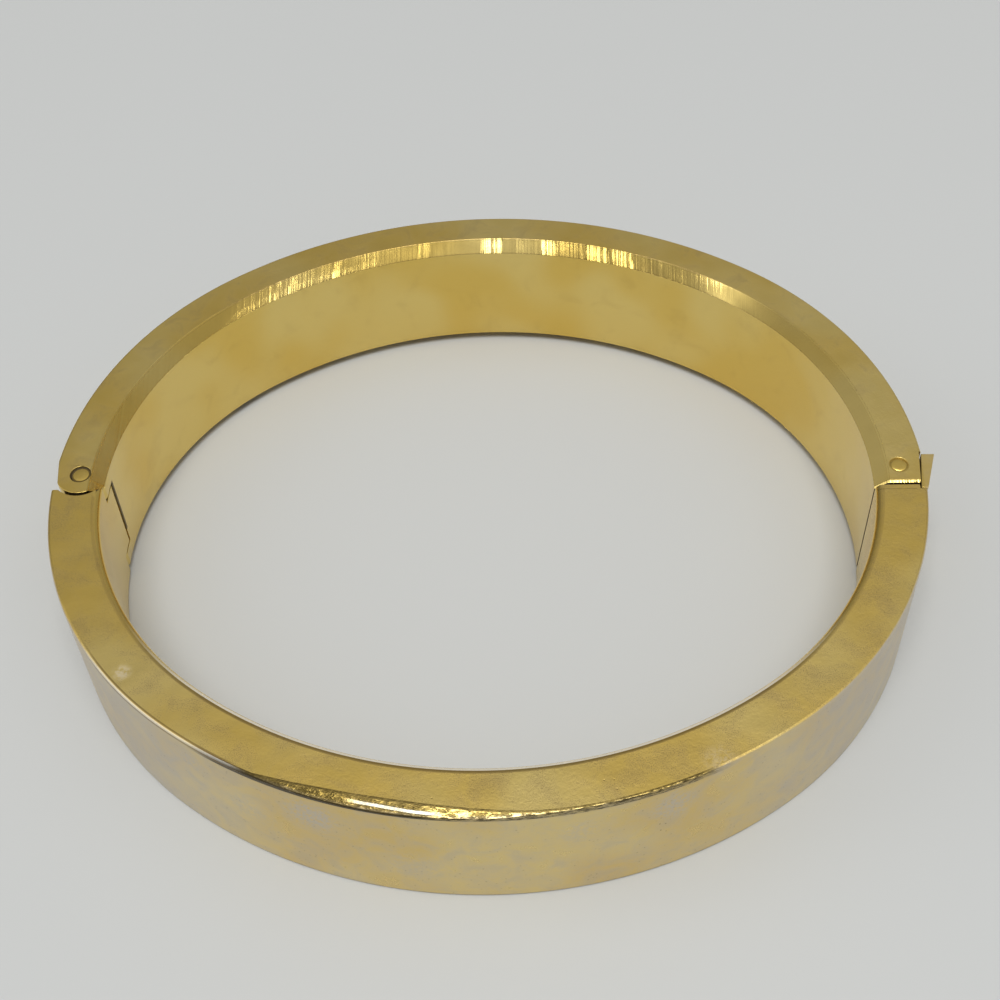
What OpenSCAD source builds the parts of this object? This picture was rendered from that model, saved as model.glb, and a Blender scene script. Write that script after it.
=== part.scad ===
// Oval hinged bangle: two half bands, a pinned hinge at one end of the oval and, at the other,
// a pinned clasp lever whose thumb tab stands out of the band.
// It lies flat on z = 0 with the oval's middle at the origin.
// The long axis is X, the hinge is at -X, the clasp is at +X and the half that swings is at -Y.

/* [Band] */
// Outside width of the closed bangle, hinge to clasp
bangle_w = 66; // [63:0.5:72]
// Outside depth of the closed bangle, front to back
bangle_d = 59; // [54:0.5:62]
// Thickness of the band
band_t = 3.8; // [3.4:0.1:4.6]
// Height of the band
band_h = 11; // [9:0.5:14]
// How far the chamfer on the back half's wrist edges reaches across its faces
chamfer_in = 1.05; // [0.5:0.05:1.4]
// How far that chamfer reaches along the inner wall
chamfer_down = 0.8; // [0.4:0.05:1.2]
// Rounding of the front half's edges that face the wrist
inner_round = 0.55; // [0.3:0.05:1.2]
// Rounding of the two outer edges
outer_round = 0.2; // [0.1:0.05:0.5]

/* [Hinge] */
// Diameter of the hinge pin
hinge_pin_d = 1.45; // [1:0.05:2]
// How far the hinge pin stands inside the middle of the band
hinge_pin_shift = 0.15; // [0.1:0.01:0.25]
// How much less than half the band the rounded ends measure
round_end_trim = 0.05; // [0.02:0.01:0.08]
// Height of each of the two ears that hold the pin
ear_h = 2; // [1.4:0.1:2.8]
// Gap round the rounded ends of ears and knuckle
hinge_gap = 0.25; // [0.2:0.01:0.4]
// Gap between the round of the knuckle and the hollow of its slot
knuckle_gap = 0.12; // [0.1:0.01:0.2]
// Gap above and below the knuckle
knuckle_play = 0.15; // [0.1:0.01:0.3]
// How far the flat shoulder stops short of the ear's end
shoulder_set = 0.35; // [0.25:0.05:0.8]
// Depth filed off the outer wall beside the hinge pin
relief_d = 0.28; // [0.24:0.01:0.4]
// Length over which that filing runs out
relief_len = 2; // [1.5:0.1:4]
// Radial clearance of a pin in the piece that turns on it
turning_clearance = 0.05; // [0.02:0.01:0.1]
// Radial clearance of a pin in the ears that hold it
seat_clearance = 0.02; // [0.01:0.01:0.05]

/* [Clasp] */
// Diameter of the clasp pin
clasp_pin_d = 1.45; // [1:0.05:1.6]
// Distance from the clasp pin to the end of the back half
clasp_end = 1.75; // [1.6:0.05:2.2]
// Gap of the seam between the two closed ends
seam_gap = 0.2; // [0.15:0.01:0.35]
// Inner wall that stays behind the lever
box_wall = 0.55; // [0.4:0.05:0.65]
// Clearance of the lever's hub in its slot, all round
hub_play = 0.15; // [0.1:0.01:0.2]
// How far the tab reaches behind the clasp pin
tab_back = 1.05; // [0.9:0.05:2]
// How far the tab's back edge stands out of the band
tab_proud = 0.95; // [0.6:0.05:1.4]
// How far the outer corner of the tab's tip stands out of the band
tab_tip_proud = 0.06; // [0.02:0.01:0.2]
// How far the tab's tip laps over the end of the front half
tab_lap = 0.3; // [0.15:0.05:0.6]
// Thickness of the tab at its tip
tab_tip_t = 0.6; // [0.5:0.05:0.8]
// Gap between the tab and the band beneath it
tab_gap = 0.2; // [0.18:0.01:0.3]
// Gap above and below the tab, to the band's two faces
tab_play = 0.05; // [0.03:0.01:0.3]
// Bevel along the back edge of the tab
tab_bevel = 0.2; // [0.1:0.05:0.3]
// Thickness of the lever's nose
nose_t = 0.75; // [0.5:0.05:0.9]
// Height of the lever's nose
nose_h = 4; // [2.5:0.1:4.5]
// Length of the nose in front of the clasp pin
nose_len = 5; // [4:0.1:6]
// Clearance of the nose in its socket, at its sides and end
nose_play = 0.3; // [0.25:0.05:0.5]
// Outer wall of the socket
socket_wall = 0.6; // [0.5:0.05:0.75]

/* [Pin heads] */
// Width of the groove round each pin's head
groove_w = 0.13; // [0.08:0.01:0.2]
// Depth of that groove
groove_h = 0.3; // [0.15:0.05:0.5]
// How far the groove stands off centre at the hinge
groove_shift = 0.08; // [0.03:0.01:0.1]
// How far the hinge pin's ends lie below the faces
hinge_pin_sink = 0.1; // [0.02:0.01:0.2]
// How far the clasp pin's ends lie below the faces
clasp_pin_sink = 0.03; // [0.02:0.01:0.2]

/* [Wear] */
// Width of the long worn flat on the front half's upper outer edge
worn_w = 0.9; // [0.4:0.05:1.2]
// Width of the narrow worn flat to its right
worn_tail_w = 0.35; // [0.2:0.05:0.6]
// Slope of both worn flats against the top face, in degrees
worn_tilt = 21; // [15:1:50]
// Where the middle of the long worn flat lies, in degrees to the right of the front
worn_at = -11; // [-20:1:-5]
// Where the middle of the narrow worn flat lies, in degrees to the right of the front
worn_tail_at = 2; // [-4:1:10]

/* [Hidden] */

$fn = 96;
over = 1;                      // how far cutting shapes run past what they cut
arc_past = 9;                  // degrees that each arc of the oval runs past its end
groove_turn = 135;             // direction in which a groove stands off its pin
gold = "#c9a24a";
pin_gold = "#b08c3c";

// The oval is four tangent arcs: two ends of end_r and two sides of side_r. The centre of an end
// arc, the centre of a side arc and the oval's middle make a right triangle of 3, 4 and 5 parts.
part = round(1000 * (bangle_w - bangle_d) / 4) / 1000;
end_x = 3 * part;                          // centre of an end arc
side_y = 4 * part;                         // centre of a side arc, across the middle
end_r = bangle_d / 2 - part;
side_r = end_r + 5 * part;
joint_angle = atan2(4, 3);                 // direction in which two arcs meet
reach = bangle_w;                          // longer than half the bangle

// Places of the two pins
hinge_x = -(bangle_w / 2 - band_t / 2 - hinge_pin_shift);
clasp_x = bangle_w / 2 - band_t / 2;
ear_r = band_t / 2 - round_end_trim;
cup_r = ear_r + hinge_gap;                 // hollow ends that the rounded ends turn in
shoulder_y = ear_r - shoulder_set;
slot_back_y = cup_r + turning_clearance;   // outer side of the knuckle's slot
relief_angle = atan(relief_d / relief_len);

// Heights
slot_h = band_h - 2 * ear_h;
knuckle_z = ear_h + knuckle_play;

// Lever and socket
front_end = clasp_end + seam_gap;          // distance from the clasp pin to the front half
hub_r = band_t / 2 - box_wall - hub_play;
hub_z = ear_h + hub_play;
hub_h = band_h - 2 * hub_z;
tab_front = front_end + tab_lap;
tab_out = bangle_w / 2 + tab_proud;        // outer corner of the tab's back edge
tip_out = end_x + sqrt(end_r * end_r - tab_front * tab_front) + tab_tip_proud;
tip_in = tip_out - tab_tip_t;
bed_back = tab_back + tab_gap;             // where the bed under the tab begins
bed_x = end_x + sqrt(end_r * end_r - bed_back * bed_back);
bed_slope = (bed_x + tab_gap - tip_in) / (bed_back + tab_front);
slot_back = bed_back + hub_play;
nose_x = clasp_x - nose_t;
socket_x = nose_x - nose_play;
socket_end = nose_len + nose_play;
socket_out = end_r - socket_wall;          // radius of the socket's outer wall

// Full circles that round the section's corners, at both heights and at a distance from x = 0
module corner_rounds(x, r) {
    for (z = [r, band_h - r])
        translate([x, z])
            circle(r = r);
}

// Straight stretch of band in section, with its inner corners cut: x runs from the inner wall to
// the outer wall.
module cut_section(cut_in, cut_down) {
    polygon([
        [cut_in, 0],
        [band_t - outer_round, 0],
        [band_t, outer_round],
        [band_t, band_h - outer_round],
        [band_t - outer_round, band_h],
        [cut_in, band_h],
        [0, band_h - cut_down],
        [0, cut_down]
    ]);
    corner_rounds(band_t - outer_round, outer_round);
}

// The back half's wrist edges are chamfered, the front half's are rounded
module band_section(side) {
    if (side > 0) {
        cut_section(chamfer_in, chamfer_down);
    } else {
        cut_section(inner_round, inner_round);
        corner_rounds(inner_round, inner_round);
    }
}

// One arc of the band with outer radius r, from the direction in which two arcs meet
module band_arc(r, turn, angle, side) {
    rotate([0, 0, joint_angle])
        mirror([0, turn < 0 ? 1 : 0, 0])
            rotate_extrude(angle = angle)
                translate([r - band_t, 0])
                    band_section(side);
}

// Half the oval, a little past the hinge and the clasp: on each side an end arc and a side arc
module half_oval(side) {
    mirror([0, side < 0 ? 1 : 0, 0])
        union()
            for (end = [0, 1])
                mirror([end, 0, 0])
                    union() {
                        translate([0, -side_y, 0])
                            band_arc(side_r, 1, 90 - joint_angle + arc_past, side);
                        translate([end_x, 0, 0])
                            band_arc(end_r, -1, joint_angle + arc_past, side);
                    }
}

// Slab of plan shape between two heights
module slab(z, height) {
    translate([0, 0, z])
        linear_extrude(height)
            children();
}

module pin_disc(x, r) {
    translate([x, 0])
        circle(r = r);
}

// Plan shape that files the outer wall beside the hinge pin, on the side of y that side names
module relief_plan(side) {
    mirror([0, side < 0 ? 1 : 0])
        translate([-bangle_w / 2 + relief_d, 0])
            rotate(relief_angle)
                translate([-reach, -reach / 2])
                    square([reach, reach]);
}

// Everything on one side of the line y = limit
module side_plan(side, limit) {
    translate([-reach, side > 0 ? limit : limit - reach])
        square([2 * reach, reach]);
}

// The flat bed under the tab, as the region outside it
module bed_plan() {
    translate([bed_x, bed_back])
        rotate(-atan(bed_slope))
            translate([0, -reach])
                square([reach, reach]);
}

// Groove round a pin's head, at both faces
module head_grooves(x, r, shift) {
    for (z = [-over, band_h - groove_h])
        translate([x, 0, z])
            rotate([0, 0, groove_turn])
                translate([shift, 0, 0])
                    cylinder(r = r + groove_w, h = groove_h + over);
}

module pin_bore(x, r) {
    translate([x, 0, -over])
        cylinder(r = r, h = band_h + 2 * over);
}

// Plan of the back half where it forms the ears
module back_ear_plan() {
    difference() {
        union() {
            side_plan(1, 0);
            pin_disc(hinge_x, ear_r);
            translate([0, -clasp_end])
                square([reach, clasp_end + over]);
        }
        relief_plan(1);
        bed_plan();
    }
}

// Plan of the slots between its ears, at the hinge and at the clasp
module back_slot_plan() {
    pin_disc(hinge_x, ear_r + knuckle_gap);
    translate([hinge_x - reach, -reach])
        square([reach, reach + slot_back_y]);
    translate([-reach, -reach])
        square([reach, reach]);
    difference() {
        translate([clasp_x - band_t, -clasp_end - over])
            square([reach, clasp_end + over + slot_back]);
        translate([end_x, 0])
            circle(r = end_r - band_t + box_wall);
    }
}

module back_half() {
    color(gold)
        difference() {
            intersection() {
                half_oval(1);
                slab(-over, band_h + 2 * over)
                    back_ear_plan();
            }
            slab(ear_h, slot_h)
                back_slot_plan();
            pin_bore(hinge_x, hinge_pin_d / 2 + seat_clearance);
            pin_bore(clasp_x, clasp_pin_d / 2 + seat_clearance);
            head_grooves(hinge_x, hinge_pin_d / 2, groove_shift);
            head_grooves(clasp_x, clasp_pin_d / 2, 0);
        }
}

// What the front half loses above and below its knuckle
module shoulder_plan() {
    pin_disc(hinge_x, cup_r);
    translate([hinge_x - reach, -shoulder_y])
        square([reach, reach]);
    translate([-reach, 0])
        square([2 * reach, reach]);
}

// Plan of the front half at the height of its knuckle
module knuckle_plan() {
    difference() {
        union() {
            side_plan(-1, 0);
            pin_disc(hinge_x, ear_r);
        }
        relief_plan(-1);
    }
}

// A flat worn on the upper outer edge, at an angle from the front
module worn_flat(angle, width) {
    translate([0, side_y, band_h])
        rotate([0, 0, angle])
            translate([0, -side_r + width, 0])
                rotate([worn_tilt, 0, 0])
                    translate([-reach / 2, -reach, 0])
                        cube([reach, reach, reach]);
}

module nose_socket() {
    intersection() {
        translate([socket_x, -socket_end, band_h / 2 - nose_h / 2 - nose_play])
            cube([band_t, socket_end, nose_h + 2 * nose_play]);
        translate([end_x, 0, 0])
            cylinder(r = socket_out, h = band_h);
    }
}

module front_half() {
    color(gold)
        difference() {
            intersection() {
                half_oval(-1);
                slab(-over, band_h + 2 * over)
                    knuckle_plan();
            }
            for (z = [-over, band_h - knuckle_z])
                slab(z, knuckle_z + over)
                    shoulder_plan();
            translate([0, -front_end, -over])
                cube([reach, reach, band_h + 2 * over]);
            translate([tip_in - tab_gap, -tab_front - tab_gap, -over])
                cube([reach, reach, band_h + 2 * over]);
            pin_bore(hinge_x, hinge_pin_d / 2 + turning_clearance);
            nose_socket();
            worn_flat(worn_at, worn_w);
            worn_flat(worn_tail_at, worn_tail_w);
        }
}

module hinge_pin() {
    color(pin_gold)
        translate([hinge_x, 0, hinge_pin_sink])
            cylinder(r = hinge_pin_d / 2, h = band_h - 2 * hinge_pin_sink);
}

// Plan of the tab: inner face parallel to its bed, outer face flaring out of the band
module tab_plan() {
    polygon([
        [tip_in, -tab_front],
        [tip_out, -tab_front],
        [tab_out, tab_back - tab_bevel],
        [tab_out - tab_bevel, tab_back],
        [tip_in + bed_slope * (tab_back + tab_front), tab_back]
    ]);
}

// Plan of the web that joins the tab to the hub
module web_plan() {
    web_front = hub_r - hub_play;
    web_back = tab_back - hub_play;
    polygon([
        [clasp_x, -web_front],
        [tip_in + bed_slope * (tab_front - web_front) + hub_play, -web_front],
        [tip_in + bed_slope * (tab_front + web_back) + hub_play, web_back],
        [clasp_x, web_back]
    ]);
}

module clasp_lever() {
    color(gold)
        difference() {
            union() {
                translate([clasp_x, 0, hub_z])
                    cylinder(r = hub_r, h = hub_h);
                slab(hub_z, hub_h)
                    web_plan();
                slab(tab_play, band_h - 2 * tab_play)
                    tab_plan();
                translate([nose_x, -nose_len, band_h / 2 - nose_h / 2])
                    cube([nose_t, nose_len, nose_h]);
            }
            pin_bore(clasp_x, clasp_pin_d / 2 + turning_clearance);
        }
}

module clasp_pin() {
    color(pin_gold)
        translate([clasp_x, 0, clasp_pin_sink])
            cylinder(r = clasp_pin_d / 2, h = band_h - 2 * clasp_pin_sink);
}

back_half();
front_half();
hinge_pin();
clasp_lever();
clasp_pin();
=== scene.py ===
# %% [markdown]
# A plain oval hinged bangle, lying flat.
# On the real object two half bands of yellow metal are pinned together at one end of the oval,
# and a small lever holds them shut at the other.
# This lesson models every piece again at full smoothness around the solids that were packed
# before, then works out one gold with different wear on its faces, edges and pins.
# Everything is in metres. The bangle's middle is at the origin and its lower rim is on z = 0.

import math

import bmesh
import bpy
from mathutils import Matrix, Vector


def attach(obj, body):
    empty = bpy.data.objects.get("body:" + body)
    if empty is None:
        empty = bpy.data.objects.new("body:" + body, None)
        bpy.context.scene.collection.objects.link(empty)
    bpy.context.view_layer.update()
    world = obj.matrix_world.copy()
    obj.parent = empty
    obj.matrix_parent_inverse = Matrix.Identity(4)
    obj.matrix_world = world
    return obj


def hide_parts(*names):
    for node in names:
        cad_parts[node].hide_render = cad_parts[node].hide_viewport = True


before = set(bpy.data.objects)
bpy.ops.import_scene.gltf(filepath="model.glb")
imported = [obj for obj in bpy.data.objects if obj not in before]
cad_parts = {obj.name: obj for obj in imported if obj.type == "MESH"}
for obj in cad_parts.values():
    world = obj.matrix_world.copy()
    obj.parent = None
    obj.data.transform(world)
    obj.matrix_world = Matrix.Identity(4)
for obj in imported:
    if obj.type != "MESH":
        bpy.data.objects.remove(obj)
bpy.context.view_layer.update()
print("packed nodes", sorted(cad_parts))

# %% [markdown]
# The named sizes are the ones that a jeweller would measure. The oval is drawn with four arcs:
# two ends and two long sides. Where two arcs meet they share a tangent, so the band has no kink.
# The centres of an end, of a side and of the oval make a right triangle of 3, 4 and 5 parts.

# %% Sizes of the band, in metres
MM = 0.001
BAND_T = 3.8 * MM
BAND_H = 11 * MM
PART = 1.75 * MM
END_X, END_R = 3 * PART, 27.75 * MM
SIDE_Y, SIDE_R = 4 * PART, 36.5 * MM
JOIN = math.atan2(4, 3)
HINGE_X, CLASP_X = -30.95 * MM, 31.1 * MM
INNER_LONG, INNER_SHORT = 2 * (END_X + END_R - BAND_T), 2 * (SIDE_R - SIDE_Y - BAND_T)
print("inside, mm:", round(INNER_LONG / MM, 1), "by", round(INNER_SHORT / MM, 1))

# %% [markdown]
# Most steps are the same few moves of the hand: pick edges or faces by where they are, apply an
# operator, go on. These helpers pick by place, and put a finished piece's place into its mesh.
# Everything is deselected before a new primitive is added, because an operator acts on all
# that is selected.


# %% Helpers for picking and cutting
def only(piece):
    """Selects one piece alone and makes it the active one."""
    bpy.ops.object.select_all(action="DESELECT")
    piece.select_set(True)
    bpy.context.view_layer.objects.active = piece


def added(name):
    """Names the primitive that was just added and puts its place into its mesh."""
    piece = bpy.context.object
    piece.name = name
    only(piece)
    bpy.ops.object.transform_apply(location=True, rotation=True, scale=True)
    return piece


def pick(piece, wanted, kind="VERT"):
    """Selects the vertices, edges or faces whose middle passes the test, in edit mode."""
    bpy.ops.mesh.select_mode(type=kind)
    bpy.ops.mesh.select_all(action="DESELECT")
    mesh = bmesh.from_edit_mesh(piece.data)
    for part in {"VERT": mesh.verts, "EDGE": mesh.edges, "FACE": mesh.faces}[kind]:
        corners = [part] if kind == "VERT" else part.verts
        middle = sum((v.co for v in corners), Vector()) / len(corners)
        if wanted(middle, part):
            part.select_set(True)
    mesh.select_flush_mode()
    bmesh.update_edit_mesh(piece.data)


def edit(piece):
    """Opens a piece in edit mode, with all of it selected."""
    only(piece)
    bpy.ops.object.mode_set(mode="EDIT")
    bpy.ops.mesh.select_all(action="SELECT")


def done():
    bpy.ops.object.mode_set(mode="OBJECT")


def block(name, low, high, turn=0.0, pivot=(0, 0, 0), axis="Z"):
    """A box between two corners in millimetres, turned about one axis round a pivot."""
    bpy.ops.object.select_all(action="DESELECT")
    low, high = Vector(low) * MM, Vector(high) * MM
    bpy.ops.mesh.primitive_cube_add(size=1, location=(low + high) / 2)
    bpy.context.object.scale = high - low
    piece = added(name)
    if turn:
        edit(piece)
        bpy.ops.transform.rotate(value=-turn, orient_axis=axis, center_override=Vector(pivot) * MM)
        done()
    return piece


def rod(name, x, radius, low, high, sides=96, y=0.0):
    """An upright cylinder between two heights, all in millimetres."""
    bpy.ops.object.select_all(action="DESELECT")
    bpy.ops.mesh.primitive_cylinder_add(
        vertices=sides,
        radius=radius * MM,
        depth=(high - low) * MM,
        location=(x * MM, y * MM, (low + high) / 2 * MM),
    )
    return added(name)


def combine(piece, tool, how="DIFFERENCE"):
    """Cuts, joins or keeps the common part of two solids, and uses up the tool."""
    only(piece)
    step = piece.modifiers.new(how.lower(), "BOOLEAN")
    step.operation, step.object, step.solver = how, tool, "EXACT"
    bpy.ops.object.modifier_apply(modifier=step.name)
    bpy.data.objects.remove(tool)


def slice_off(piece, point, normal):
    """Cuts a solid with a plane, drops what is in front of it and closes the cut."""
    edit(piece)
    bpy.ops.mesh.bisect(
        plane_co=Vector(point) * MM,
        plane_no=normal,
        use_fill=True,
        clear_outer=True,
        threshold=1e-7,
    )
    done()


# %% [markdown]
# The band's section is a tall rectangle. On the back half the two edges that touch the wrist
# carry a broad chamfer, filed by hand. On the front half they are only rounded. The outer edges
# are just broken on both.
# A plane is stood up where the sweep starts. Its inner corners are cut with a bisecting line on
# the back half. Then a vertex bevel rounds all the corners, the chamfer's only a little. What is
# left is one closed outline.

# %% The section and the sweep
CHAMFER_IN, CHAMFER_DOWN = 1.05 * MM, 0.8 * MM
CHAMFER_RIM, INNER_ROUND, OUTER_ROUND = 0.03 * MM, 0.55 * MM, 0.2 * MM
PAST = math.radians(6)
# With these steps no later cut falls beside a step of the spin, where a bevel would fold
BACK_END_STEPS, FRONT_END_STEPS, SIDE_STEPS = 60, 56, 76


def section(name, side):
    """The band's outline, standing a little before the hinge, on the back (1) or front (-1)."""
    turn = math.pi + side * PAST
    middle = END_R - BAND_T / 2
    bpy.ops.object.select_all(action="DESELECT")
    bpy.ops.mesh.primitive_plane_add(
        size=1,
        location=(-END_X + middle * math.cos(turn), middle * math.sin(turn), BAND_H / 2),
        rotation=(math.pi / 2, 0, turn),
    )
    bpy.context.object.scale = (BAND_T, BAND_H, 1)
    piece = added(name)
    out = Vector((math.cos(turn), math.sin(turn), 0))
    centre = Vector((-END_X, 0, 0))
    inner = centre + out * (END_R - BAND_T)
    chamfered = (1, -1) if side > 0 else ()
    for up in chamfered:
        level = BAND_H if up > 0 else 0.0
        corner = inner + out * CHAMFER_IN + Vector((0, 0, level))
        normal = (-out * CHAMFER_DOWN + Vector((0, 0, up * CHAMFER_IN))).normalized()
        edit(piece)
        bpy.ops.mesh.bisect(plane_co=corner, plane_no=normal, clear_outer=True, threshold=1e-7)
        done()

    def radius(point):
        return (point - centre).dot(out)

    outer_steps, inner_steps = (8, 2) if side > 0 else (2, 10)
    inner_round = CHAMFER_RIM if side > 0 else INNER_ROUND
    edit(piece)
    pick(piece, lambda p, _: radius(p) > END_R - 0.1 * MM)
    bpy.ops.mesh.bevel(offset=OUTER_ROUND, segments=outer_steps, affect="VERTICES")
    pick(piece, lambda p, _: radius(p) < END_R - BAND_T / 2)
    bpy.ops.mesh.bevel(offset=inner_round, segments=inner_steps, affect="VERTICES")
    bpy.ops.mesh.select_all(action="SELECT")
    bpy.ops.mesh.delete(type="ONLY_FACE")
    done()
    return piece


def swept_half(name, side):
    """Spins the section round one half's three arcs, from before the hinge to past the clasp."""
    piece = section(name, side)
    edit(piece)
    end_steps = BACK_END_STEPS if side > 0 else FRONT_END_STEPS
    arcs = [
        ((-END_X, 0), JOIN + PAST, end_steps),
        ((0, -side * SIDE_Y), math.pi - 2 * JOIN, SIDE_STEPS),
        ((END_X, 0), JOIN + PAST, end_steps),
    ]
    for (x, y), angle, steps in arcs:
        bpy.ops.mesh.spin(steps=steps, angle=side * angle, center=(x, y, 0), axis=(0, 0, 1))
    bpy.ops.mesh.select_all(action="SELECT")
    bpy.ops.mesh.remove_doubles(threshold=1e-6)
    bpy.ops.mesh.fill_holes(sides=0)
    bpy.ops.mesh.select_all(action="SELECT")
    bpy.ops.mesh.normals_make_consistent(inside=False)
    done()
    return piece


back = swept_half("back_band", 1)
front = swept_half("front_band", -1)
print("swept faces", len(back.data.polygons), len(front.data.polygons))

# %% [markdown]
# The hinge is a knuckle of the front half between two ears of the back half, on one pin.
# Ears and knuckle end in the same round, and each turns in a hollow that is a little larger.
# Rods and blocks stand for the cutters: a block takes the rest of the band away round the ear,
# after the ear's own rod has been taken out of the block.

# %% Sizes of hinge and clasp, in millimetres
HX, CX = HINGE_X / MM, CLASP_X / MM
TOP = BAND_H / MM
# How far the cutters reach past the band, and to its wrist side, at the hinge and at the clasp
LOW, HIGH = -1.0, TOP + 1.0
OUT_LEFT, IN_LEFT = -36, -27
IN_RIGHT, OUT_RIGHT = 25, 40
REACH_Y = 6
# All that lies beyond this X belongs to the clasp
CLASP_SIDE = 28
EAR_R, CUP_R, SLOT_R = 1.85, 2.1, 1.95
EAR_TOP, KNUCKLE_TOP = 9.0, 8.85
PIN_R = 0.725
LOOSE_FIT, EAR_FIT, CLASP_FIT = 0.05, 0.02, 0.006
GROOVE_X, GROOVE_Y, GROOVE_W, GROOVE_DEEP = HX - 0.035, 0.03, 0.085, 0.18
EAR_SLOT_Y, SHOULDER_Y = 2.15, -1.5
# The band's outer wall stands at EAR_OUT at the hinge, and is filed off there a little aslant
EAR_OUT, FILED = -33, 0.28
FILED_TURN = math.atan2(FILED, 2.0)


def mirrored(level):
    """The same height measured from the band's lower rim."""
    return TOP - level


def rounded_end(piece, side):
    """Takes the band away past the pin's axis, but for the round of the ear or knuckle."""
    y_low, y_high = sorted((0, -side * REACH_Y))
    waste = block("waste", (OUT_LEFT, y_low, LOW), (IN_LEFT, y_high, HIGH))
    combine(waste, rod("round", HX, EAR_R, LOW - 1, HIGH + 1))
    combine(piece, waste)
    outwards = (-math.cos(FILED_TURN), -side * math.sin(FILED_TURN), 0)
    slice_off(piece, (EAR_OUT + FILED, 0, 0), outwards)


print("hinge pin at x", round(HX, 2), "and clasp pin at x", round(CX, 2))


# %% The ears on the back half
rounded_end(back, 1)
slot_corner = (OUT_LEFT, -REACH_Y, mirrored(EAR_TOP))
combine(back, rod("hollow", HX, SLOT_R, mirrored(EAR_TOP), EAR_TOP))
combine(back, block("slot_out", slot_corner, (HX, EAR_SLOT_Y, EAR_TOP)))
combine(back, block("slot_in", slot_corner, (IN_LEFT, 0, EAR_TOP)))
combine(back, rod("bore", HX, PIN_R + EAR_FIT, LOW, HIGH, 48))
for low, high in ((LOW, GROOVE_DEEP), (mirrored(GROOVE_DEEP), HIGH)):
    combine(back, rod("groove", GROOVE_X, PIN_R + GROOVE_W, low, high, 64, y=GROOVE_Y))
print("faces with the ears:", len(back.data.polygons))

# %% The knuckle on the front half
rounded_end(front, -1)
for low, high in ((LOW, mirrored(KNUCKLE_TOP)), (KNUCKLE_TOP, HIGH)):
    combine(front, rod("hollow", HX, CUP_R, low, high))
    combine(front, block("shoulder", (OUT_LEFT, SHOULDER_Y, low), (HX, REACH_Y, high)))
    combine(front, block("step", (OUT_LEFT, 0, low), (IN_LEFT, REACH_Y, high)))
combine(front, rod("bore", HX, PIN_R + LOOSE_FIT, LOW, HIGH, 48))
print("faces with the knuckle:", len(front.data.polygons))

# %% [markdown]
# At the clasp the back half ends square, just past the clasp pin. Its outer wall is cut to a
# slanting bed on which the lever's tab lies, and a slot behind that holds the lever's hub.
# The front half ends in a hollow for the lever's nose, with a notch for the tip of the tab.

# %% The clasp end of both halves
SEAM_BACK, SEAM_FRONT = -1.75, -1.95
BED_X, BED_Y, BED_SLOPE = 32.8, 1.34, 0.1
BED_TURN = -math.atan(BED_SLOPE)
# The slot for the lever's hub, the notch for the tab's tip and the socket for the nose
SLOT_LOW, SLOT_HIGH, SLOT_IN, SLOT_Y, SLOT_WALL_R = 2, 9, 27.3, 1.25, 24.5
NOTCH_X, NOTCH_Y = 32.37, -2.33
SOCKET_FROM, SOCKET_TO, SOCKET_WALL_R = (30.05, -5.3, 3.2), (33.85, -1, 7.8), 27.15
combine(back, block("end", (IN_RIGHT, -REACH_Y, LOW), (OUT_RIGHT, SEAM_BACK, HIGH)))
combine(back, block("bed", (BED_X, -20, LOW), (50, BED_Y, HIGH), BED_TURN, (BED_X, BED_Y, 0)))
slot = block("slot", (SLOT_IN, -3, SLOT_LOW), (OUT_RIGHT, SLOT_Y, SLOT_HIGH))
combine(slot, rod("inner_wall", END_X / MM, SLOT_WALL_R, SLOT_LOW - 1, SLOT_HIGH + 1, 360))
combine(back, slot)
combine(back, rod("bore", CX, PIN_R + CLASP_FIT, LOW, HIGH, 64))
combine(front, block("end", (IN_RIGHT, SEAM_FRONT, LOW), (OUT_RIGHT, REACH_Y, HIGH)))
combine(front, block("notch", (NOTCH_X, NOTCH_Y, LOW), (OUT_RIGHT, REACH_Y, HIGH)))
socket = block("socket", SOCKET_FROM, SOCKET_TO)
combine(socket, rod("outer_wall", END_X / MM, SOCKET_WALL_R, 0, TOP, 360), "INTERSECT")
combine(front, socket)
print("faces with the clasp end:", len(back.data.polygons), len(front.data.polygons))

# %% The rubbed edge of the back half at the seam
RUB_W, RUB_TILT = 0.27, math.radians(23)
RUB_Y = SEAM_BACK + RUB_W
rub = block("rub", (CLASP_SIDE, -4, TOP), (34, RUB_Y, TOP + 2), RUB_TILT, (0, RUB_Y, TOP), "X")
combine(back, rub)
print("faces with the rubbed edge:", len(back.data.polygons))

# %% [markdown]
# Years of rubbing have worn a long flat on the front half's upper outer edge, broad to the left
# of the middle and running out slowly to the right. It is made as a file would make it:
# one shallow plane cut after the other, each turned a little further round the band. Two more
# rounds of steeper and narrower cuts leave the flat slightly rounded, as rubbing does.

# %% The worn flat
# Each round's tilt in degrees, and its share of the flat's width
WORN_TILTS = [(15, 1.0), (22, 0.62), (29, 0.36)]
# Each cut's place in degrees from the middle of the side, and the flat's width there
WORN_CUTS = [
    (-19, 0.28), (-16.5, 0.46), (-14.5, 0.70), (-12, 0.88), (-9.5, 0.94), (-7, 0.88),
    (-4.5, 0.75), (-2, 0.6), (0.5, 0.47), (3, 0.37), (6, 0.29), (9, 0.24), (12, 0.2),
    (15, 0.18), (18, 0.17), (20.5, 0.15),
]
first_slope = math.tan(math.radians(WORN_TILTS[0][0]))
for tilt, share in WORN_TILTS:
    lean = math.radians(tilt)
    for degrees, width in WORN_CUTS:
        turn = math.radians(degrees)
        out = Vector((math.sin(turn), -math.cos(turn), 0))
        edge = Vector((0, SIDE_Y, BAND_H)) + out * (SIDE_R - share * width * MM)
        edge.z -= (1 - share) * width * MM * first_slope
        slice_off(front, edge / MM, out * math.sin(lean) + Vector((0, 0, math.cos(lean))))
print("faces with the worn flat:", len(front.data.polygons))

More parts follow.
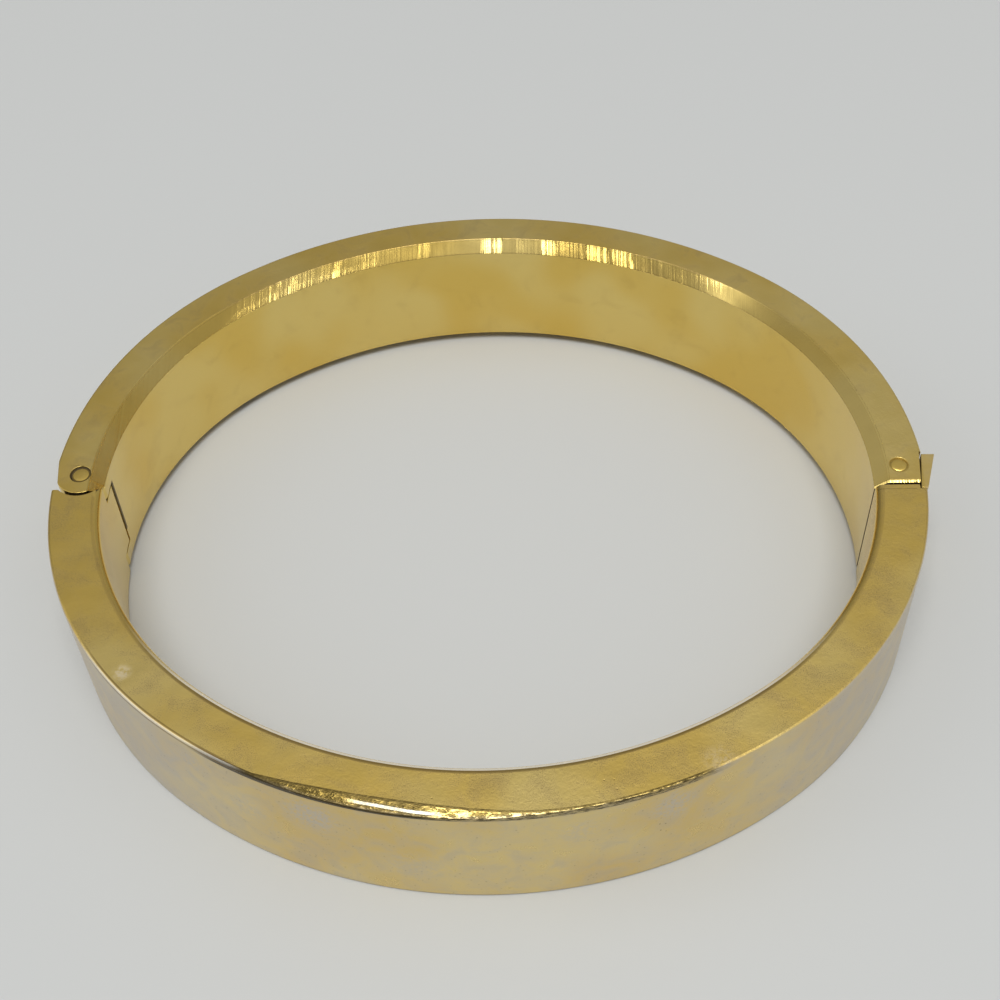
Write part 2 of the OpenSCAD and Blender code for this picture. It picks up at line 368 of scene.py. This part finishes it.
# %% [markdown]
# A cut leaves a razor edge, which no worn bangle has. After all the cuts the stray points that
# they left are merged, and every edge sharper than a rim is rounded by a few hundredths of a
# millimetre, enough to catch a line of light. Where a rounding has pushed a point a hair past
# the top or bottom rim, it is pressed level again. Smooth shading stops at what is still sharp.


# %% Soft edges
def clean(piece):
    """Merges stray points that lie within two thousandths of a millimetre."""
    edit(piece)
    bpy.ops.mesh.remove_doubles(threshold=0.002 * MM)
    bpy.ops.mesh.dissolve_degenerate(threshold=0.002 * MM)
    bpy.ops.mesh.select_all(action="SELECT")
    bpy.ops.mesh.normals_make_consistent(inside=False)
    done()


def soften(piece, width, limit=50.0):
    """Rounds every edge that is sharper than the limit, and keeps the rims level."""
    only(piece)
    step = piece.modifiers.new("soften", "BEVEL")
    step.width, step.segments = width * MM, 2
    step.limit_method, step.angle_limit = "ANGLE", math.radians(limit)
    step.use_clamp_overlap = False
    bpy.ops.object.modifier_apply(modifier=step.name)
    for face, beyond in ((BAND_H, 1), (0.0, -1)):
        edit(piece)
        pick(piece, lambda p, _: (p.z - face) * beyond > 0)
        bpy.ops.transform.resize(value=(1, 1, 0), center_override=(0, 0, face))
        done()


def shade(piece, limit=19.0):
    """Smooth shading that stops at sharp edges, with wide faces kept truly flat."""
    only(piece)
    bpy.ops.object.shade_smooth_by_angle(angle=math.radians(limit))
    step = piece.modifiers.new("flatten", "WEIGHTED_NORMAL")
    step.keep_sharp = True
    bpy.ops.object.modifier_apply(modifier=step.name)


for piece, width, limit in ((back, 0.03, 19), (front, 0.05, 13)):
    clean(piece)
    soften(piece, width)
    shade(piece, limit)
print("faces with soft edges:", len(back.data.polygons), len(front.data.polygons))

# %% [markdown]
# Both pins are plain rods, riveted and filed flush. A ring is punched round each head, so the
# head stands in it like a small dome and catches a spot of light. A cylinder's end face is
# inset again and again: down into the ring, across it, up again and over the dome.


# %% The two pins
def pin(name, x, sink, insets):
    """A rod sunk a little below both rims, its heads shaped by insets of a width and a lift."""
    low, high = sink, TOP - sink
    piece = rod(name, x, PIN_R, low, high, 64)
    edit(piece)
    for up in (1, -1):
        end = high if up > 0 else low
        pick(piece, lambda p, f: len(f.verts) > 4 and abs(p.z / MM - end) < 0.01, "FACE")
        for inward, lift in insets:
            bpy.ops.mesh.inset(thickness=inward * MM)
            bpy.ops.transform.translate(value=(0, 0, up * lift * MM))
    done()
    shade(piece, 50)
    return piece


DOME = [(0.14, 0.02), (0.2, 0.008)]
HINGE_HEAD = [(0.1, 0.0), (0.03, 0.05), *DOME]
CLASP_HEAD = [(0.04, 0.0), (0.02, -0.05), (0.04, 0.0), (0.02, 0.03), *DOME]
hinge_pin = pin("hinge_rivet", HX, 0.12, HINGE_HEAD)
clasp_pin = pin("clasp_rivet", CX, 0.02, CLASP_HEAD)
print("faces of the pins:", len(hinge_pin.data.polygons), len(clasp_pin.data.polygons))

# %% [markdown]
# The lever is one small casting: a hub on the clasp pin, a web through the slot, a thin nose
# inside the front half, and the tab that the thumb presses. The tab starts as a cube. Its
# corners are moved to the slanted wedge of the real one, flush with the band at the tip and
# proud at the back, and the hub, web and nose are joined to it.

# %% The clasp lever
TAB_TIP_Y, TAB_BACK_Y = -2.25, 1.12
TAB_LOW, TAB_HIGH = 0.05, 10.95
TAB_OUT, TIP_OUT = 33.94, 32.965
CUBE_IN, CUBE_OUT = 32, 34
BACK_GAP, SEAM_GAP = 0.15, 0.03
HUB_R, HUB_LOW, HUB_HIGH = 1.2, 2.15, 8.85
WEB_FRONT, WEB_BACK, WEB_OUT, INTO_TAB = -1.05, 0.9, 33.5, 0.15
NOSE_W, NOSE_TIP_Y, NOSE_LOW, NOSE_HIGH = 0.75, -5, 3.5, 7.5


def tab_inner(y):
    """The tab's inner face: close to its bed at the seam, clear of it behind, where it dips."""
    bed = BED_X + BED_SLOPE * (y - BED_Y)
    share = (y - SEAM_BACK) / (TAB_BACK_Y - SEAM_BACK)
    return bed + SEAM_GAP + share * (BACK_GAP - SEAM_GAP)


tab = block("clasp_tab", (CUBE_IN, TAB_TIP_Y, TAB_LOW), (CUBE_OUT, TAB_BACK_Y, TAB_HIGH))
edit(tab)
for is_out, is_back, x in (
    (False, False, tab_inner(TAB_TIP_Y)),
    (True, False, TIP_OUT),
    (True, True, TAB_OUT),
    (False, True, tab_inner(TAB_BACK_Y)),
):
    pick(tab, lambda p, _: (p.x > 32.9 * MM) == is_out and (p.y > 0) == is_back)
    start = CUBE_OUT if is_out else CUBE_IN
    bpy.ops.transform.translate(value=((x - start) * MM, 0, 0))
pick(tab, lambda p, _: p.y > 1 * MM and (p.x > 33.5 * MM or abs(p.z / MM - 5.5) > 5.4), "EDGE")
bpy.ops.mesh.bevel(offset=0.09 * MM, segments=3)
done()
hub = rod("hub", CX, HUB_R, HUB_LOW, HUB_HIGH)
web = block("web", (CX, WEB_FRONT, HUB_LOW), (WEB_OUT, WEB_BACK, HUB_HIGH))
edit(web)
for y in (WEB_FRONT, WEB_BACK):
    pick(web, lambda p, _: p.x > 33 * MM and abs(p.y / MM - y) < 0.1)
    bpy.ops.transform.translate(value=((tab_inner(y) + INTO_TAB - WEB_OUT) * MM, 0, 0))
done()
nose = block("nose", (CX - NOSE_W, NOSE_TIP_Y, NOSE_LOW), (CX, 0, NOSE_HIGH))
for part in (hub, web, nose):
    combine(tab, part, "UNION")
combine(tab, rod("bore", CX, PIN_R + LOOSE_FIT, LOW, HIGH, 48))
clean(tab)
soften(tab, 0.05, 30)
shade(tab)
print("faces of the lever:", len(tab.data.polygons))

# %% [markdown]
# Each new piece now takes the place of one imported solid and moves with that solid's body.
# Both pins are riveted in the back half, so they stay with it when the band opens.

# %% Bodies and what each new piece stands for
for piece, node, body, finish in (
    (back, "back_half", "back", "polished_gold"),
    (front, "front_half", "front", "polished_gold"),
    (hinge_pin, "hinge_pin", "back", "pin_gold"),
    (clasp_pin, "clasp_pin", "back", "pin_gold"),
    (tab, "clasp_lever", "lever", "polished_gold"),
):
    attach(piece, body)
    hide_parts(node)
    print(piece.name, "stands for", node, "and moves with", body)

# %% [markdown]
# A finish is worked out as sums on what is known at a point, such as its place on the band.
# One small class wraps an output of a node, so that a sum in Python adds the Math nodes for it.
# A second class holds a material and adds every other kind of node with one method.


# %% Sums that become nodes
class Value:
    """An output socket in a finish. Sums on it add Math nodes."""

    def __init__(self, finish, socket):
        self.finish, self.socket = finish, socket

    def maths(self, operation, *terms):
        return self.finish.add("ShaderNodeMath", {"operation": operation}, dict(enumerate(terms)))

    def __add__(self, other):
        return self.maths("ADD", self, other)

    def __radd__(self, other):
        return self.maths("ADD", other, self)

    def __sub__(self, other):
        return self.maths("SUBTRACT", self, other)

    def __rsub__(self, other):
        return self.maths("SUBTRACT", other, self)

    def __mul__(self, other):
        return self.maths("MULTIPLY", self, other)

    def __rmul__(self, other):
        return self.maths("MULTIPLY", other, self)

    def __truediv__(self, other):
        return self.maths("DIVIDE", self, other)

    def __pow__(self, other):
        return self.maths("POWER", self, other)

    def __abs__(self):
        return self.maths("ABSOLUTE", self)

    def above(self, limit):
        return self.maths("GREATER_THAN", self, limit)

    def least(self, other):
        return self.maths("MINIMUM", self, other)

    def most(self, other):
        return self.maths("MAXIMUM", self, other)

    def fade(self, start, end):
        """0 at start and 1 at end, with a soft curve between them. Start may be the larger."""
        settings = {"interpolation_type": "SMOOTHSTEP"}
        sockets = {"Value": self, "From Min": start, "From Max": end}
        return self.finish.add("ShaderNodeMapRange", settings, sockets)


class Finish:
    """A material. add() makes a node: its type, its settings, then the values of its sockets."""

    def __init__(self, name):
        self.material = bpy.data.materials.new(name)
        self.material.use_nodes = True
        self.tree = self.material.node_tree
        self.shader = self.tree.nodes["Principled BSDF"]

    def add(self, kind, settings=None, sockets=None, out=0):
        node = self.tree.nodes.new(kind)
        for name, value in (settings or {}).items():
            if name == "stops":
                self.ramp(node, value)
            else:
                setattr(node, name, value)
        self.feed(node, sockets or {})
        outputs = [o for o in node.outputs if o.enabled]
        return Value(self, node.outputs[out] if isinstance(out, str) else outputs[out])

    def ramp(self, node, stops):
        """Sets a ramp of greys from pairs of a place and a level."""
        while len(node.color_ramp.elements) < len(stops):
            node.color_ramp.elements.new(0.5)
        for element, (place, level) in zip(node.color_ramp.elements, stops):
            element.position, element.color = place, (level, level, level, 1)

    def feed(self, node, sockets):
        """Links or sets the inputs of a node, each named by its label or by its number."""
        shown = [i for i in node.inputs if i.enabled]
        for name, value in sockets.items():
            if isinstance(name, int):
                socket = shown[name]
            else:
                socket = next(i for i in shown if i.name == name)
            if isinstance(value, Value):
                self.tree.links.new(value.socket, socket)
            else:
                socket.default_value = value

    def place(self):
        """X, Y and Z on the piece, in millimetres."""
        raw = self.add("ShaderNodeTexCoord", out="Object")
        return [self.add("ShaderNodeSeparateXYZ", {}, {0: raw}, out=i) / MM for i in range(3)]

    def point(self, x, y, z):
        return self.add("ShaderNodeCombineXYZ", {}, {0: x, 1: y, 2: z})

    def noise(self, where, scale, detail, rough, warp=0.0):
        sockets = {"Vector": where, "Scale": scale, "Detail": detail, "Roughness": rough}
        return self.add("ShaderNodeTexNoise", {}, {**sockets, "Distortion": warp})

    def scratches(self, along, scale):
        """Noise along one line, for marks that all run the same way."""
        settings = {"noise_dimensions": "1D"}
        sockets = {"W": along, "Scale": scale, "Detail": 3.0, "Roughness": 0.75}
        return self.add("ShaderNodeTexNoise", settings, sockets)

    def specks(self, where, scale):
        """The distance to the nearest of many scattered points."""
        return self.add("ShaderNodeTexVoronoi", {}, {"Vector": where, "Scale": scale})

    def mix(self, share, first, second):
        """A colour between two colours."""
        sockets = {"Factor": share, "A": first, "B": second}
        return self.add("ShaderNodeMix", {"data_type": "RGBA"}, sockets)

    def bump(self, height, strength, depth):
        sockets = {"Height": height, "Strength": strength, "Distance": depth}
        return self.add("ShaderNodeBump", {}, sockets, out="Normal")

    def to_shader(self, **sockets):
        self.feed(self.shader, {n.replace("_", " "): v for n, v in sockets.items()})


# %% [markdown]
# On the bangle every mark has its place: smudges of dried polish and skin on the outer wall,
# fine pits on the top face, file strokes across the chamfer, dark dirt and painted shade round
# the pins and in the gaps, painted highlight and shade on the worn flat and the rims, and a
# painted reflection of the floor at the ends of the outer wall. So the finish first works out how
# far a point is from the outer wall, with the same four arcs.


# %% Where a point is on the band
def across_band(finish, x, y):
    """Distance from the band's outer wall towards the wrist, in millimetres."""
    end_x, end_r = END_X / MM, END_R / MM
    side_y, side_r = SIDE_Y / MM, SIDE_R / MM
    along_x, along_y = abs(x) - end_x, abs(y)
    at_end = (4 * along_x - 3 * along_y).above(0)
    from_end = end_r - (along_x**2 + along_y**2) ** 0.5
    from_side = side_r - (x * x + (along_y + side_y) ** 2) ** 0.5
    return from_end * at_end + from_side * (1 - at_end)


# %% [markdown]
# Gold is all metal: its colour is the colour of its reflection. The plate is warmer where it is
# thick and paler where it is rubbed. Haze is a film on top, so it is lighter, rougher and less
# of a metal. Dirt, together with the painted shade that darkens gaps and grooves, is no metal at
# all. The small unevenness of hand polish is a set of bumps, from broad waves that bend a
# reflection to pits that only break its edge. Their heights are given in microns.

# %% The gold of the band
GOLD = (0.77, 0.545, 0.135, 1)
PALE_GOLD = (0.81, 0.62, 0.21, 1)
BROWN = (0.26, 0.165, 0.06, 1)
# Olive, for painted shade on the worn flat and along the hinge's slot
OLIVE = (0.07, 0.05, 0.015, 1)
HAZE = (0.56, 0.52, 0.47, 1)
# Dark brown, for dirt and the painted shade in gaps, grooves and round the pin heads
DIRT_AND_GAP_SHADE = (0.05, 0.033, 0.012, 1)
# Near white, for painted highlight lines along the front half's rims
PAINTED_HIGHLIGHT_WHITE = (0.93, 0.9, 0.82, 1)
# Cream, for the painted highlight in the middle of the worn flat
FLAT_HIGHLIGHT_CREAM = (0.24, 0.225, 0.19, 1)
MICRON = 0.000001
# Along X, the file's lit strokes on the back half's chamfer: middle, half width, strength
STROKES = [
    (-18.1, 0.2, 0.4), (-16.8, 0.35, 0.5), (-13.2, 0.3, 0.5), (-10.4, 0.6, 0.35), (-5.8, 0.5, 0.45),
    (-0.85, 0.15, 0.5), (0.15, 0.8, 0.95), (2.5, 0.3, 0.25),
    (4.95, 0.62, 1.0), (6.8, 1.15, 0.5), (9.15, 0.95, 1.0), (11.3, 0.85, 0.95),
]
# Smudges of dried polish and clusters of pits: the place, how far they reach, strength
SMUDGES = [
    ((-24.7, -18.2, 11), 0.9, 0.8), ((15.7, -25.4, 11), 1.6, 0.4), ((-11.2, -27.8, 8.3), 2.6, 0.9),
    ((-15.5, -25.2, 6.0), 2.4, 0.5), ((12.8, -27.2, 8.3), 2.2, 0.7), ((20, -22, 4), 2.5, 0.4),
    ((-19, -23, 8.5), 2.0, 0.6), ((-4.5, -29.2, 4.0), 2.6, 0.3), ((6.5, -28.9, 8.0), 1.8, 0.4),
]
PIT_CLUSTERS = [
    ((1.3, -29.5, 6.6), 1.5, 1.0), ((-2.9, -29.4, 2.2), 0.8, 1.0), ((12.3, -27.4, 6.0), 1.6, 0.8),
    ((-3, -27.7, 11), 0.7, 1.0), ((4.7, -27.6, 11), 0.7, 1.0), ((8.5, -27.2, 11), 1.4, 0.8),
]
# How the bump turns the chamfer's light, in metres of height for each millimetre up it
TURN_UNLIT, TURN_LIT, TURN_AWAY, TURN_LEVEL = 0.00022, 0.00006, 0.0003, -0.00124


def spots(f, here, places):
    """Soft spots round the given places, 0 outside and up to their strength in the middle."""
    total = 0
    for place, reach, strength in places:
        far = f.add("ShaderNodeVectorMath", {"operation": "DISTANCE"}, {0: here, 1: place}, "Value")
        total = far.fade(reach, reach * 0.2) * strength + total
    return total


class Gold(Finish):
    """What all the gold has: its two tones, its grain, and the haze on the outer wall."""

    def __init__(self, name):
        super().__init__(name)
        self.x, self.y, self.z = x, y, z = self.place()
        self.here = self.point(x, y, z)
        self.across = across_band(self, x, y)
        self.level = abs(z - TOP / 2)
        self.top = self.level.fade(5.4, 5.48)
        self.wall = self.across.fade(0.25, 0.1) * (1 - self.top)
        self.patches = self.noise(self.here, scale=0.45, detail=3, rough=0.6, warp=0.6)
        self.grain = self.noise(self.here, scale=3.4, detail=2, rough=0.65, warp=0.4)
        broad = self.noise(self.here, scale=0.12, detail=1, rough=0.6)
        self.colour = self.mix(broad.fade(0.35, 0.65), GOLD, PALE_GOLD)
        self.tint(self.patches.fade(0.5, 0.75) * (0.10 + 0.1 * self.top), BROWN)
        self.film = self.patches.fade(0.3, 0.75) * 0.85 + self.grain.fade(0.4, 0.8) * 0.15
        self.haze = self.top * self.film * 0.08
        self.dirt_and_gap_shade = 0
        rough_side = (x - y).fade(0, 30) * 0.6 + 0.4
        grain_part = (0.25 + 0.75 * self.top) * rough_side
        waves = self.noise(self.here, scale=0.35, detail=1, rough=0.5)
        self.height = self.grain * grain_part * (16 * MICRON) + waves * (60 * MICRON)

    def tint(self, share, colour):
        self.colour = self.mix(share, self.colour, colour)

    def hand_over(self):
        self.to_shader(
            Base_Color=self.colour,
            Metallic=(1 - 0.75 * self.haze - 0.85 * self.dirt_and_gap_shade).most(0),
            Roughness=0.23 + 0.10 * self.top + 0.25 * self.haze + 0.3 * self.dirt_and_gap_shade,
            Normal=self.bump(self.height, 1.0, 1.0),
        )
        return self.material


# %% The back half's gold: file strokes and painted rim shade on the chamfer, dirt and painted shade at the pins and in the gaps
def back_finish(name):
    f = Gold(name)
    x, y, z = f.x, f.y, f.z
    chamfer_out, chamfer_foot = (BAND_T - CHAMFER_IN) / MM, TOP / 2 - CHAMFER_DOWN / MM
    chamfer = f.across.fade(chamfer_out - 0.015, chamfer_out - 0.005)
    chamfer = chamfer * f.level.fade(chamfer_foot - 0.01, chamfer_foot)
    f.haze = f.haze + f.wall * (0.12 + 0.4 * f.film)
    f.tint(f.haze, HAZE)

    # File strokes turn the chamfer's light away but for a few patches, and dull its two ends
    lit = 0
    for middle, half, strength in STROKES:
        lit = abs(x - middle).fade(half + 0.15, half - 0.1) * strength + lit
    lower_rim = z.fade(10.8, 10.3) * x.fade(-22.5, -20.5) * x.fade(-8, -13)
    thin = f.scratches(x, 3.6)
    lit = (lit + lower_rim * 0.45 - thin.fade(0.52, 0.60) * 0.7).most(0).least(1)
    left_end, right_end = x.fade(-20.5, -23), x.fade(17, 25)
    turned = TURN_UNLIT + (TURN_LIT - TURN_UNLIT) * lit
    turned = turned + TURN_AWAY * left_end + (TURN_LEVEL - TURN_UNLIT) * right_end
    # Painted shade: the chamfer's two rims are darkened brown where no file stroke is lit
    edges = z.fade(10.93, 10.98) * 0.55 + z.fade(10.3, 10.22) * 0.2
    f.tint(edges * (1 - lit) * (1 - left_end) * (1 - right_end) * chamfer, BROWN)
    strokes = thin * (1 - right_end) * (30 * MICRON)
    chamfer_middle = TOP - CHAMFER_DOWN / MM / 2
    f.height = f.height + ((z - chamfer_middle) * turned + strokes) * chamfer

    # The rubbed edge at the seam runs over the chamfer too
    at_seam = x.above(CLASP_SIDE) * z.above(10.1)
    rubbed = abs(y - (SEAM_BACK + 0.15)).fade(0.17, 0.13) * at_seam * z.fade(10.995, 10.985)
    f.tint(rubbed * 0.7, PALE_GOLD)
    f.height = f.height + f.scratches(x, 1.5) * rubbed * (100 * MICRON)
    f.height = f.height + (y - RUB_Y).least(0) * (400 * MICRON) * chamfer * at_seam

    # Dirt and painted shade at both pins, in the seam and in the hinge's slot
    hinge_r = ((x - HX) ** 2 + y * y) ** 0.5
    clasp_r = ((x - CX) ** 2 + y * y) ** 0.5
    groove_r = ((x - GROOVE_X) ** 2 + (y - GROOVE_Y) ** 2) ** 0.5
    pins = groove_r.fade(0.83, 0.80).most(clasp_r.fade(0.745, 0.74) * 0.3)
    f.dirt_and_gap_shade = pins.most((SEAM_BACK + 0.04 - y).above(0)) * f.level.fade(5.49, 5.46)
    f.tint(f.dirt_and_gap_shade, DIRT_AND_GAP_SHADE)
    # In the slot the painted shade shows as a dark line along the gap that ends above the slot's
    # floor
    slot_line = (hinge_r - 1.9).fade(0.22, 0.14) * y.above(0) * f.across.above(3.6)
    slot_line = slot_line * z.fade(3.1, 3.5) * z.fade(9.15, 9.0)
    f.tint(slot_line * 0.9, OLIVE)
    f.dirt_and_gap_shade = f.dirt_and_gap_shade.most(slot_line)
    return f.hand_over()


# %% The front half's gold: the worn flat and rims with painted highlight and shade, painted reflection at the wall's ends, smudges and pits
def front_finish(name):
    f = Gold(name)
    x, y, z = f.x, f.y, f.z
    fine = f.noise(f.here, scale=14.0, detail=1, rough=0.5)
    speckle = fine.fade(0.5, 0.68) * f.patches.fade(0.36, 0.6) * f.top
    f.tint(speckle * 0.5, BROWN)

    smudge = spots(f, f.here, SMUDGES) * f.grain.fade(0.3, 0.6)
    # Haze is a film of polish; its extra share towards both ends of the outer wall is a painted
    # reflection of the pale floor
    floor_reflection_ends = x.fade(-14, -25) + x.fade(16, 28)
    wall_haze = f.wall * (0.16 + 0.35 * f.film + 0.45 * floor_reflection_ends)
    f.haze = (f.haze + wall_haze + smudge * 0.6).least(0.8)
    f.tint(f.haze, HAZE)
    pit_map = f.specks(f.here, 2.2)
    scattered = f.patches.fade(0.45, 0.6) * (f.wall * 0.5 + f.top * 0.25)
    pits = pit_map.fade(0.2, 0.08) * (scattered + spots(f, f.here, PIT_CLUSTERS)).least(1)
    f.tint(pits * 0.7, BROWN)

    # The worn flat: a painted highlight, white in the middle, and painted shade, brown and mottled
    # to the left, with dark painted rims
    on_flat = f.across.fade(1.3, 1.2) * z.fade(10.4, 10.5) * z.fade(10.9998, 10.998)
    on_flat = on_flat * x.fade(-20, -17) * x.fade(17, 14) * y.fade(-18, -20)
    mottle = f.noise(f.point(x * 0.7, 0, z * 5), scale=1.9, detail=3, rough=0.75, warp=0.5)
    slanted = z + (x + 8).most(0).least(3.5) * 0.012
    flat_highlight = slanted.fade(10.915, 10.885) * slanted.fade(10.795, 10.815)
    flat_highlight = flat_highlight * x.fade(-8.8, -7.4) * x.fade(-2.0, -3.2)
    bits = mottle.fade(0.5, 0.62) * x.fade(-2, -4) * 0.2
    bits = bits + mottle.fade(0.44, 0.56) * x.fade(-4, -2) * 0.7
    rims = (z.fade(10.94, 10.965) * 0.97).most(f.across.fade(0.12, 0.05) * x.fade(-1, -4))
    flat_shade = (0.97 - 0.85 * flat_highlight - bits * (1 - flat_highlight)).most(rims)
    f.tint(flat_shade * on_flat, OLIVE)
    f.tint(flat_highlight * (1 - rims) * on_flat * 0.9, FLAT_HIGHLIGHT_CREAM)

    # To its left the rubbed edge gets a painted highlight, a thin bright line, between two dark
    # lines of painted shade
    beside = y.fade(-2, -4) * x.fade(-28.5, -26) * x.fade(-15, -17.5)
    line = f.across.fade(0.17, 0.13) * z.fade(10.82, 10.86) * beside
    shadow = (f.across.fade(0.34, 0.28) * z.fade(10.62, 10.7) * beside - line).most(0)
    f.tint(line * 0.4, PAINTED_HIGHLIGHT_WHITE)
    f.tint(shadow * 0.65, BROWN)

    # The rounded wrist edge has a painted shade line and, in front, a painted highlight line
    edge_in = f.level.fade(5.1, 5.2) * y.fade(-2.0, -2.4)
    in_front = y.fade(-13, -21)
    f.tint(abs(f.across - 3.3).fade(0.17, 0.05) * edge_in * (0.25 + 0.45 * in_front), BROWN)
    rim_highlight = f.across.fade(3.4, 3.45) * f.across.fade(3.68, 3.6) * edge_in * in_front * 0.8
    f.tint(rim_highlight, PAINTED_HIGHLIGHT_WHITE)
    f.haze = f.haze.most(rim_highlight)

    # Dirt and painted shade in the gaps of hinge and seam, and the faint line behind the seam
    hinge_r = ((x - HX) ** 2 + y * y) ** 0.5
    in_band = (x + 32.75).above(0) * (-29.35 - x).above(0) * y.fade(0.5, 0.3)
    gap = hinge_r.fade(2.24, 2.18) * in_band
    at_clasp = x.above(CLASP_SIDE)
    f.dirt_and_gap_shade = gap.most((y - SEAM_FRONT + 0.04).above(0) * at_clasp) * f.level.fade(5.49, 5.46)
    f.tint(f.dirt_and_gap_shade, DIRT_AND_GAP_SHADE)
    line = abs(y + 2.39).fade(0.06, 0.02) * at_clasp * z.above(10.8) * (32.1 - x).above(0)
    f.tint(line * 0.45, BROWN)
    f.height = f.height + mottle * on_flat * (1 - 0.8 * flat_highlight) * (40 * MICRON)
    f.height = f.height - pits * (14 * MICRON)
    return f.hand_over()


# %% The lever's gold: plain, with dirt and painted shade where it lies against the band, and painted shade on its back rim
def lever_finish(name):
    f = Gold(name)
    f.haze = f.haze + f.wall * (0.2 + 0.3 * f.film)
    f.tint(f.haze, HAZE)
    bed = f.x - f.y * BED_SLOPE
    f.dirt_and_gap_shade = bed.fade(BED_X + 0.14, BED_X + 0.08) * f.level.fade(5.44, 5.4)
    f.tint(f.dirt_and_gap_shade * 0.9, DIRT_AND_GAP_SHADE)
    # Painted shade along the tab's back rim
    back_rim_shade = f.y.fade(1.02, 1.08) * f.level.above(5.38)
    f.tint(back_rim_shade * 0.4, BROWN)
    return f.hand_over()


# %% One finish for each piece of the band
for piece, finish in (
    (back, back_finish("back_gold")),
    (front, front_finish("front_gold")),
    (tab, lever_finish("lever_gold")),
):
    piece.data.materials.clear()
    piece.data.materials.append(finish)
    print(finish.name, "has", len(finish.node_tree.nodes), "nodes")

# %% [markdown]
# The pins are turned from plainer gold. All that they need is a fine grain, and dirt with painted
# shade in the ring round each head, so one finish serves both.


# %% The gold of the pins
def pin_finish(name):
    f = Finish(name)
    x, y, z = f.place()
    grain = f.noise(f.point(x, y, z), scale=6.0, detail=3, rough=0.6)
    from_hinge = ((x - HX) ** 2 + y * y) ** 0.5
    from_clasp = ((x - CX) ** 2 + y * y) ** 0.5
    # Dirt and painted shade in the ring round each head: full on the hinge pin, lighter on the
    # clasp pin
    ring = from_hinge.fade(0.58, 0.63) * x.fade(1, -1)
    clasp_ring = from_clasp.fade(0.58, 0.61) * from_clasp.fade(0.685, 0.665)
    ring = ring + clasp_ring * 0.6 * x.fade(-1, 1)
    colour = f.mix(grain.fade(0.4, 0.7) * 0.3, GOLD, PALE_GOLD)
    f.to_shader(
        Base_Color=f.mix(ring * 0.85, colour, DIRT_AND_GAP_SHADE),
        Metallic=1 - ring * 0.5,
        Roughness=0.28 + 0.1 * grain,
        Normal=f.bump(grain, 0.6, 10 * MICRON),
    )
    return f.material


pin_gold = pin_finish("rivet_gold")
for piece in (hinge_pin, clasp_pin):
    piece.data.materials.clear()
    piece.data.materials.append(pin_gold)
print(pin_gold.name, "has", len(pin_gold.node_tree.nodes), "nodes")

# %% [markdown]
# The floor is a plain pale sheet. Polished gold shows whatever is round it, so the sheet is
# much wider than the picture.

# %% Floor
bpy.ops.object.select_all(action="DESELECT")
bpy.ops.mesh.primitive_plane_add(size=6)
floor = added("floor")
paper = bpy.data.materials.new("floor_paper")
paper.use_nodes = True
paper_shader = paper.node_tree.nodes["Principled BSDF"]
paper_shader.inputs["Base Color"].default_value = (0.572, 0.582, 0.572, 1)
paper_shader.inputs["Roughness"].default_value = 0.7
floor.data.materials.append(paper)
print("floor is", round(floor.dimensions.x, 1), "m wide")

# %% [markdown]
# The camera is held close above the front of the band and looks down at it. It is set by its
# place and by three turns: a tilt up from straight down, a roll in the hand, and a turn to the
# side.

# %% Camera
EYE = Vector((4.893, -78.334, 99.814)) * MM
TILT, ROLL, TURN = math.radians(40.322), math.radians(-2.832), math.radians(2.85)
lens = bpy.data.cameras.new("camera")
lens.lens, lens.sensor_width = 56.282, 36
lens.clip_start = 0.005
camera = bpy.data.objects.new("camera", lens)
bpy.context.scene.collection.objects.link(camera)
aim = Matrix.Rotation(TURN, 4, "Z") @ Matrix.Rotation(TILT, 4, "X") @ Matrix.Rotation(ROLL, 4, "Z")
camera.matrix_world = Matrix.Translation(EYE) @ aim
bpy.context.scene.camera = camera
print("camera is", round(EYE.length / MM), "mm from the middle")

# %% [markdown]
# The light is a soft studio: a broad panel overhead, a little to the camera's side, and a sky
# that is pale above and dimmer towards the walls. The sky is worked out like a finish, from
# the direction that its light comes from.

# %% Light
panel = bpy.data.lights.new("panel", "AREA")
panel.shape, panel.size, panel.size_y = "RECTANGLE", 0.5, 0.35
panel.energy = 5.4
panel_object = bpy.data.objects.new("panel", panel)
bpy.context.scene.collection.objects.link(panel_object)
panel_object.location = (0.0, -0.3, 0.95)
to_middle = Vector((0, 0, 0)) - panel_object.location
panel_object.rotation_euler = to_middle.to_track_quat("-Z", "Y").to_euler()
print("panel is", round(to_middle.length, 2), "m from the band")


# %% Sky
class Sky(Finish):
    """The light from all round, worked out from the direction that it comes from."""

    def __init__(self, world):
        world.use_nodes = True
        self.tree = world.node_tree
        self.shader = self.tree.nodes["Background"]


world = bpy.data.worlds.new("studio")
bpy.context.scene.world = world
sky = Sky(world)
toward = sky.add("ShaderNodeTexCoord", out="Generated")
x, y, z = (sky.add("ShaderNodeSeparateXYZ", {}, {0: toward}, out=i) for i in range(3))
stops = [(0.0, 0.22), (0.6, 0.315), (0.76, 0.375), (0.87, 0.48), (1.0, 1.0)]
overhead = sky.add("ShaderNodeValToRGB", {"stops": stops}, {0: z})
beside = (1 - 10 * y * y).most(0) * z.above(0)
from_left = x.fade(-0.3, -0.7)
from_right = x.fade(0.3, 0.5) * x.fade(0.72, 0.55) * 0.4
brightness = (overhead + 0.12 * x + (from_left + from_right) * beside) * 1.03
sky.to_shader(Color=brightness)
bpy.context.scene.view_settings.view_transform = "Standard"
print("sky has", len(sky.tree.nodes), "nodes")
